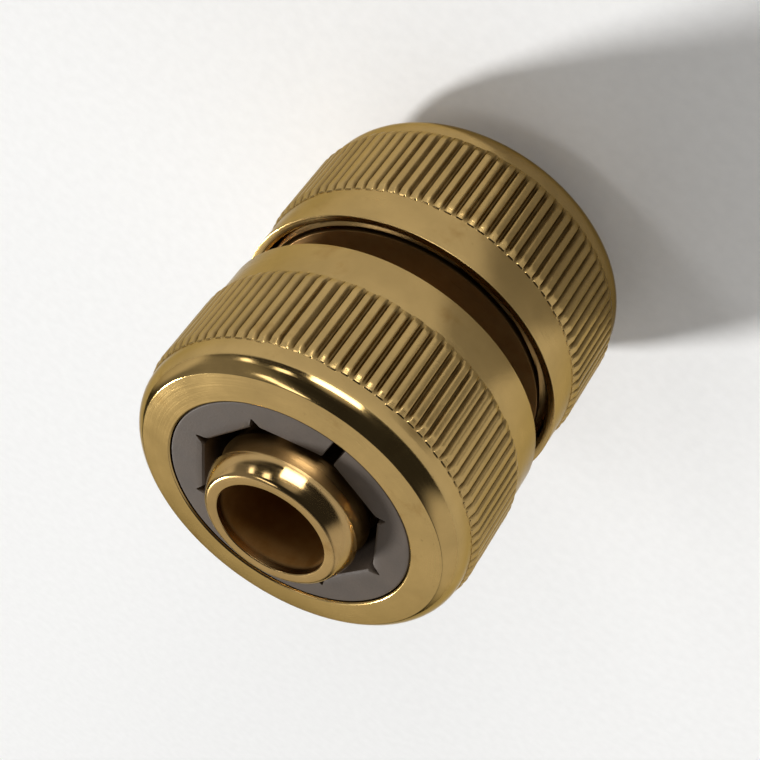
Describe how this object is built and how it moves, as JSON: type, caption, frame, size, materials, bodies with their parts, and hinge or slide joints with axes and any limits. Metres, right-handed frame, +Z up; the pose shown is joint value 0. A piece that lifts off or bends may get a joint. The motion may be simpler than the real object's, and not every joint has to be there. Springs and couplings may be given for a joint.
{
  "type": "hose connector",
  "caption": "Brass hose repair connector: barbed tube with a threaded flange each side of its neck, knurled end nuts and split plastic grip rings.",
  "frame": {"origin": "middle of the lower tail's flat end, which the connector stands on", "axes": "+Z up along the water bore, from the lower tail to the upper tail; -Y towards the open slit of both grip rings"},
  "size_m": [0.0296, 0.0296, 0.0384],
  "materials": {
    "body_brass": "turned and polished",
    "nut_brass": "satin turned, knurled",
    "grip_plastic": "matte grey moulded"
  },
  "bodies": {
    "body": {"body": "body_brass"},
    "upper_ring": {"upper_grip_ring": "grip_plastic"},
    "upper_nut": {"upper_nut": "nut_brass"},
    "lower_ring": {"lower_grip_ring": "grip_plastic"},
    "lower_nut": {"lower_nut": "nut_brass"}
  },
  "joints": [
    {"name": "upper_nut_travel", "type": "slide", "parent": "body", "child": "upper_ring", "axis": [0, 0, 1], "range_m": [0, 0.00263]},
    {"name": "upper_nut_turn", "type": "hinge", "parent": "upper_ring", "child": "upper_nut", "pos_m": [0, 0, 0.01918], "axis": [0, 0, 1], "range_deg": [0, 630]},
    {"name": "lower_nut_travel", "type": "slide", "parent": "body", "child": "lower_ring", "axis": [0, 0, -1], "range_m": [0, 0.00263]},
    {"name": "lower_nut_turn", "type": "hinge", "parent": "lower_ring", "child": "lower_nut", "pos_m": [0, 0, 0.01918], "axis": [0, 0, -1], "range_deg": [0, 630]}
  ],
  "couplings": [
    {"joint": "upper_nut_travel", "follows": "upper_nut_turn", "m_per_rad": 0.00023873},
    {"joint": "lower_nut_travel", "follows": "lower_nut_turn", "m_per_rad": 0.00023873}
  ]
}
